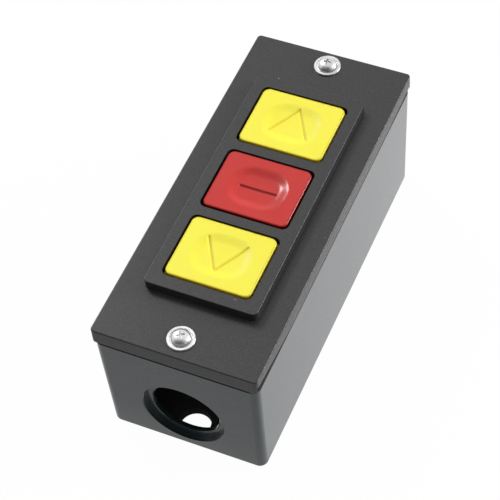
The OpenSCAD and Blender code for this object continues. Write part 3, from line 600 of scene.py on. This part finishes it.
def metal(name, colour, shade, gloss, grain, grain_depth):
    """Plated or rolled metal: a colour that clouds to a shade of it, and fine wear in its gloss."""
    material, new, link = new_material(name)
    at = new("ShaderNodeTexCoord").outputs["Object"]
    clouds = add_noise(new, link, at, 250, 4)
    skin = new("ShaderNodeBsdfPrincipled")
    skin.inputs["Metallic"].default_value = 1
    shown = add_mix(new, link, add_ramp(new, link, clouds, 0.35, 0.68, 0, 1), colour, shade)
    link(shown, skin.inputs["Base Color"])
    wear = add_noise(new, link, at, 700, 4, 0.7)
    link(add_ramp(new, link, wear, 0.3, 0.7, *gloss), skin.inputs["Roughness"])
    add_grain(new, link, add_noise(new, link, at, grain, 3, 0.6), grain_depth, skin)
    return material


profile = [
    (0.3, TIP_Z), (SHANK_R * 0.8, TIP_Z + 0.9), (SHANK_R, TIP_Z + 1.8), (SHANK_R, HEAD_Z),
    (FLANGE_R - 0.08, HEAD_Z), (FLANGE_R, HEAD_Z + 0.08), (FLANGE_R - 0.04, HEAD_Z + 0.36),
    (FLANGE_R - 0.18, RIM_Z), (DOME_R + 0.42, RIM_Z), (DOME_R + 0.32, GROOVE_Z), (DOME_R + 0.02, GROOVE_Z),
]
for slope in range(86, 0, -10):
    out, up = math.sin(math.radians(slope)) ** 0.9, math.cos(math.radians(slope)) ** 0.85
    profile.append((DOME_R * out, DOME_Z + DOME_RISE * up))
screws = []
for side, turn in ((-1, NEAR_TURN), (1, FAR_TURN)):
    centre = (0, FACE_SHIFT + side * BOSS_Y)
    screw = add_turned("cover_screw", centre, profile)
    combine(screw, add_cross(centre, turn, CROSS_REACH, CROSS_W, CROSS_Z, CROSS_Z + 1.9), "DIFFERENCE")
    thread = add_thread("thread", centre, SHANK_R - 0.06, CREST_R, TIP_Z + 1.2, HEAD_Z - 1.2, THREAD_PITCH)
    join(screw, [thread])
    screws.append(screw)
join(screws[0], screws[1:])
screws[0].name = "cover_screws_pair"
bright_zinc = metal(
    "bright_zinc", (0.84, 0.84, 0.83), (0.66, 0.67, 0.68), gloss=(0.26, 0.40), grain=500, grain_depth=0.002
)
finish_piece(screws[0], "case", ["cover_screws"], bright_zinc, 38)


# Push buttons. Glossy caps moulded in coloured plastic, each with a finger dish and an engraved
# mark. A flange round the foot keeps the cap in its window, and a boss inside sits on the plunger.
BUTTON_W, BUTTON_L, BUTTON_R, BUTTON_Z = 25.8, 21.2, 2.0, 48.5
DISH_W, DISH_L, DISH_R, DISH_EDGE = 18.2, 15.2, 6.4, 3.5
RED_DISH, YELLOW_DISH, BOWL = 0.72, 0.36, 0.45
MARK_W, MARK_DEPTH = 1.1, 0.32
SPAN, RISE, UP_SHIFT, BAR_HALF = 11.8, 10.2, 0.9, 5.55
WALL_BREAK = -0.5
FOOT_W, FOOT_L, FOOT_Z, FOOT_T = 28.8, 24.2, 45.5, 1.5
INSIDE_HALF, RIB_THIN, RIB_Z = (11.1, 8.8), 0.9, FOOT_Z - FOOT_T
UNDER_CAP_Z = BUTTON_Z - RED_DISH - 1.8
PEG_BOSS_R, PEG_BOSS_Z, PEG_R, PEG_Z = 4.5, 38.3, 2.52, 41.4


def to_segment(x, y, a, b):
    """How far a point is from the line between two points."""
    run = (b[0] - a[0], b[1] - a[1])
    share = ((x - a[0]) * run[0] + (y - a[1]) * run[1]) / (run[0] ** 2 + run[1] ** 2)
    share = min(1.0, max(0.0, share))
    return math.hypot(x - a[0] - share * run[0], y - a[1] - share * run[1])


def soft_step(value):
    """Rises from 0 to 1 with a soft start and end."""
    value = min(1.0, max(0.0, value))
    return value * value * (3 - 2 * value)


def cap_depth(x, y, marks, dish):
    """How deep the cap's top lies below its edge, and how far a point is into an engraved mark."""
    in_x, in_y = abs(x) - (DISH_W / 2 - DISH_R), abs(y) - (DISH_L / 2 - DISH_R)
    inward = DISH_R - (math.hypot(max(in_x, 0), max(in_y, 0)) + min(max(in_x, in_y), 0))
    bowl = max(0.0, 1 - (2 * x / DISH_W) ** 2 - (2 * y / DISH_L) ** 2)
    depth = dish * (soft_step(inward / DISH_EDGE) + BOWL * bowl)
    near = min(to_segment(x, y, a, b) for a, b in marks)
    share = 1 - soft_step((near - 0.16 * MARK_W) / (0.34 * MARK_W))
    return depth + MARK_DEPTH * share, share


def is_outline(x, y):
    """Whether a point lies on the cap's outline."""
    in_x, in_y = abs(x) - (BUTTON_W / 2 - BUTTON_R), abs(y) - (BUTTON_L / 2 - BUTTON_R)
    if in_x > 0 and in_y > 0:
        return math.hypot(in_x, in_y) > BUTTON_R - 0.03
    return max(in_x, in_y) > BUTTON_R - 0.03


def add_cap_top(name, y_middle, marks, dish):
    """The cap's top as a fine grid whose rings follow the cap's round-cornered outline."""
    deselect()
    bpy.ops.mesh.primitive_grid_add(x_subdivisions=176, y_subdivisions=176, size=2)
    obj = bpy.context.object
    obj.name = name
    half_w, half_l = BUTTON_W / 2, BUTTON_L / 2
    painted_shade = obj.data.attributes.new("painted_shade", "FLOAT", "POINT")
    for v in obj.data.vertices:
        u, w = v.co.x, v.co.y
        ring = max(abs(u), abs(w))
        if ring < 1e-6:
            x = y = 0.0
        else:
            # the point of the square's edge in the same direction, pushed onto the outline
            x, y = u / ring * half_w, w / ring * half_l
            in_x, in_y = abs(x) - (half_w - BUTTON_R), abs(y) - (half_l - BUTTON_R)
            if in_x > 0 and in_y > 0:
                shrink = BUTTON_R / math.hypot(in_x, in_y)
                x = math.copysign(half_w - BUTTON_R + in_x * shrink, x)
                y = math.copysign(half_l - BUTTON_R + in_y * shrink, y)
            x, y = x * ring, y * ring
        depth, share = cap_depth(x, y, marks, dish)
        v.co = (x * MM, (y + y_middle) * MM, (BUTTON_Z - depth) * MM)
        # painted shade, strongest along the middle of an engraved groove
        painted_shade.data[v.index].value = share ** 3
    return obj


def add_button(name, marks, material, dish):
    """A whole cap: its top, its skirt and flange pulled down from the top's edge, and its inside."""
    y_middle = stations[name]
    obj = add_cap_top(f"{name}_button_cap", y_middle, marks, dish)
    pulls = (
        ((1, 1), WALL_BREAK),
        ((1, 1), FOOT_Z - BUTTON_Z - WALL_BREAK),
        ((FOOT_W / BUTTON_W, FOOT_L / BUTTON_L), 0.0),
        ((1, 1), -FOOT_T),
    )
    bpy.ops.object.mode_set(mode="EDIT")
    bpy.ops.mesh.select_mode(type="EDGE")
    bpy.ops.mesh.select_all(action="DESELECT")
    mesh = bmesh.from_edit_mesh(obj.data)
    for edge in mesh.edges:
        edge.select_set(edge.is_boundary)
    bmesh.update_edit_mesh(obj.data)
    for stretch, drop in pulls:
        bpy.ops.mesh.extrude_edges_move(TRANSFORM_OT_translate={"value": (0, 0, drop * MM)})
        bpy.ops.transform.resize(value=(*stretch, 1), center_override=(0, y_middle * MM, 0))
    bpy.ops.mesh.edge_face_add()
    bpy.ops.object.mode_set(mode="OBJECT")
    # the wall below its break lies in the window's shadow and takes most of the mark's darker colour, as
    # painted shade
    painted_shade = obj.data.attributes["painted_shade"]
    for v in obj.data.vertices:
        if v.co.z < (BUTTON_Z + WALL_BREAK + 0.01) * MM and is_outline(v.co.x / MM, v.co.y / MM - y_middle):
            painted_shade.data[v.index].value = 0.8
    edit_edges(obj, lambda m, d: abs(m.z - BUTTON_Z) < 0.05 and is_outline(m.x, m.y - y_middle), 0.4, 5)
    inside = add_slab("inside", INSIDE_HALF, RIB_Z - PAST, UNDER_CAP_Z, y=y_middle, radius=1.0, steps=5)
    combine(obj, [inside], "DIFFERENCE")
    stiffeners = [
        add_rod("cap_boss", (0, y_middle), PEG_BOSS_R, PEG_BOSS_Z, UNDER_CAP_Z + 0.5),
        add_slab("rib", (INSIDE_HALF[0] + 0.4, RIB_THIN), RIB_Z, UNDER_CAP_Z + 0.5, y=y_middle),
        add_slab("rib", (RIB_THIN, INSIDE_HALF[1] + 0.4), RIB_Z, UNDER_CAP_Z + 0.5, y=y_middle),
    ]
    combine(obj, stiffeners, "UNION")
    peg_hole = add_rod("peg_hole", (0, y_middle), PEG_R, PEG_BOSS_Z - PAST, PEG_Z, sides=40)
    combine(obj, [peg_hole], "DIFFERENCE")
    finish_piece(obj, f"{name}_push", [f"{name}_button"], material, 40)


# The mark colours are painted shade, for the engraved grooves and for the skirt walls in the windows.
signal_yellow = plastic(
    "signal_yellow_plastic", (1.0, 0.91, 0.060), (1.0, 0.88, 0.050), gloss=(0.36, 0.46),
    grain=900, grain_depth=0.003, glow=0.3, mark=(0.90, 0.72, 0.030),
)
stop_red = plastic(
    "stop_red_plastic", (0.62, 0.027, 0.021), (0.58, 0.024, 0.019), gloss=(0.20, 0.27),
    grain=900, grain_depth=0.003, glow=0.3, mark=(0.20, 0.006, 0.005),
)
stations = {"up": FACE_SHIFT + PITCH, "stop": FACE_SHIFT, "down": FACE_SHIFT - PITCH}
up_mark = [((0, RISE / 2 + UP_SHIFT), (s * SPAN / 2, UP_SHIFT - RISE / 2)) for s in (-1, 1)]
stop_mark = [((-BAR_HALF, 0), (BAR_HALF, 0))]
down_mark = [((0, -RISE / 2), (s * SPAN / 2, RISE / 2)) for s in (-1, 1)]
add_button("up", up_mark, signal_yellow, YELLOW_DISH)
add_button("stop", stop_mark, stop_red, RED_DISH)
add_button("down", down_mark, signal_yellow, YELLOW_DISH)


# Return springs. Coils of hard steel wire, each with a closed turn at both ends, that stand in
# the block's cells and push the plungers up. The real ones shorten as the button goes in; these keep one
# length.
RETURN_LOW, RETURN_HIGH, RETURN_GIVE = 9.7, 23.2, 4
spring_steel = metal(
    "spring_steel_wire", (0.62, 0.63, 0.65), (0.50, 0.51, 0.53), gloss=(0.18, 0.34),
    grain=2500, grain_depth=0.004,
)


def add_coil(name, y_middle, radius, wire, turns, low, high):
    """A compression spring: a round wire along a helix whose first and last turns lie flat."""
    steps = 28
    rise = high - low - 3 * wire
    points = []
    for k in range(int(turns * steps) + 1):
        turn = k / steps
        share = min(1.0, max(0.0, (turn - 1) / (turns - 2)))
        closed = min(turn, 1) + max(0.0, turn - turns + 1)
        angle = math.tau * turn
        points.append((
            radius * math.cos(angle), radius * math.sin(angle) + y_middle,
            low + wire / 2 + closed * wire + share * rise,
        ))
    curve = bpy.data.curves.new(name, "CURVE")
    curve.dimensions = "3D"
    curve.bevel_depth = wire / 2 * MM
    curve.bevel_resolution = 3
    curve.use_fill_caps = True
    line = curve.splines.new("POLY")
    line.points.add(len(points) - 1)
    for point, spot in zip(line.points, points):
        point.co = (*(c * MM for c in spot), 1)
    obj = bpy.data.objects.new(name, curve)
    bpy.context.collection.objects.link(obj)
    select_only(obj)
    bpy.ops.object.convert(target="MESH")
    return bpy.context.object


for name, y in stations.items():
    coil = add_coil(f"{name}_return_coil", y, 2.3, 0.6, 8, RETURN_LOW, RETURN_HIGH)
    finish_piece(coil, "case", [f"{name}_return_spring"], spring_steel, 60)
    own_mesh(coil)


# Contact springs. Shorter, thinner coils between each contact bridge and the top of its
# plunger's window. The real ones give by the last millimetre of the button's travel; these keep one length
# and move with the button.
CONTACT_LOW, CONTACT_HIGH, CONTACT_GIVE = 25.9, 32.7, 1
for name, y in stations.items():
    coil = add_coil(f"{name}_contact_coil", y, 2.35, 0.5, 5, CONTACT_LOW, CONTACT_HIGH)
    finish_piece(coil, f"{name}_push", [f"{name}_contact_spring"], spring_steel, 60)
    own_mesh(coil)


# Plungers. Ivory moulded plastic posts that slide in the guide plate, slightly glossy, with the
# faint flow marks of the moulding.
def dress(material, *nodes):
    """Gives a material to the CAD pieces of these names."""
    for node in nodes:
        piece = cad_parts[node]
        for slot in piece.material_slots:
            slot.material = material
        if not piece.material_slots:
            piece.data.materials.append(material)


ivory = plastic(
    "ivory_plastic", (0.74, 0.70, 0.60), (0.68, 0.63, 0.52), gloss=(0.35, 0.50),
    grain=900, grain_depth=0.006, glow=0.15,
)
dress(ivory, *(f"{name}_plunger" for name in stations))


# Contact block. Pressed from brown phenolic, which shows darker swirls of resin and a dull skin.
phenolic = plastic(
    "brown_phenolic", (0.085, 0.030, 0.014), (0.040, 0.014, 0.008), gloss=(0.30, 0.55),
    grain=1100, grain_depth=0.012, ior=1.55,
)
dress(phenolic, "contact_block")


# Guide plate. Punched from vulcanised fibre sheet, brick red with a fine fibrous surface.
fibre = plastic(
    "fibre_sheet", (0.30, 0.085, 0.050), (0.22, 0.060, 0.036), gloss=(0.60, 0.80),
    grain=2200, grain_depth=0.03, ior=1.45,
)
dress(fibre, "guide_plate")


# Contact bridges and strips. Stamped from rolled brass, with a dull film and rolling marks.
rolled_brass = metal(
    "rolled_brass", (0.78, 0.58, 0.26), (0.62, 0.43, 0.18), gloss=(0.22, 0.42), grain=900, grain_depth=0.008
)
for part in ("contact_bridge", "upper_contacts", "lower_contacts"):
    dress(rolled_brass, *(f"{name}_{part}" for name in stations))


# Contact tips. Silver rivets, softly polished, with a light grey tarnish.
silver = metal(
    "silver_tips", (0.88, 0.87, 0.84), (0.66, 0.64, 0.60), gloss=(0.16, 0.32), grain=1500, grain_depth=0.004
)
dress(silver, "upper_contact_tips", "lower_contact_tips", *(f"{name}_bridge_tips" for name in stations))


# Terminals and block screws. Zinc-plated steel screws and clamps, and square nuts of brass.
dull_zinc = metal(
    "dull_zinc", (0.66, 0.67, 0.68), (0.52, 0.53, 0.55), gloss=(0.28, 0.46), grain=1400, grain_depth=0.008
)
dress(dull_zinc, "block_screws", "terminal_screws", "terminal_clamps")
dress(rolled_brass, "terminal_nuts")
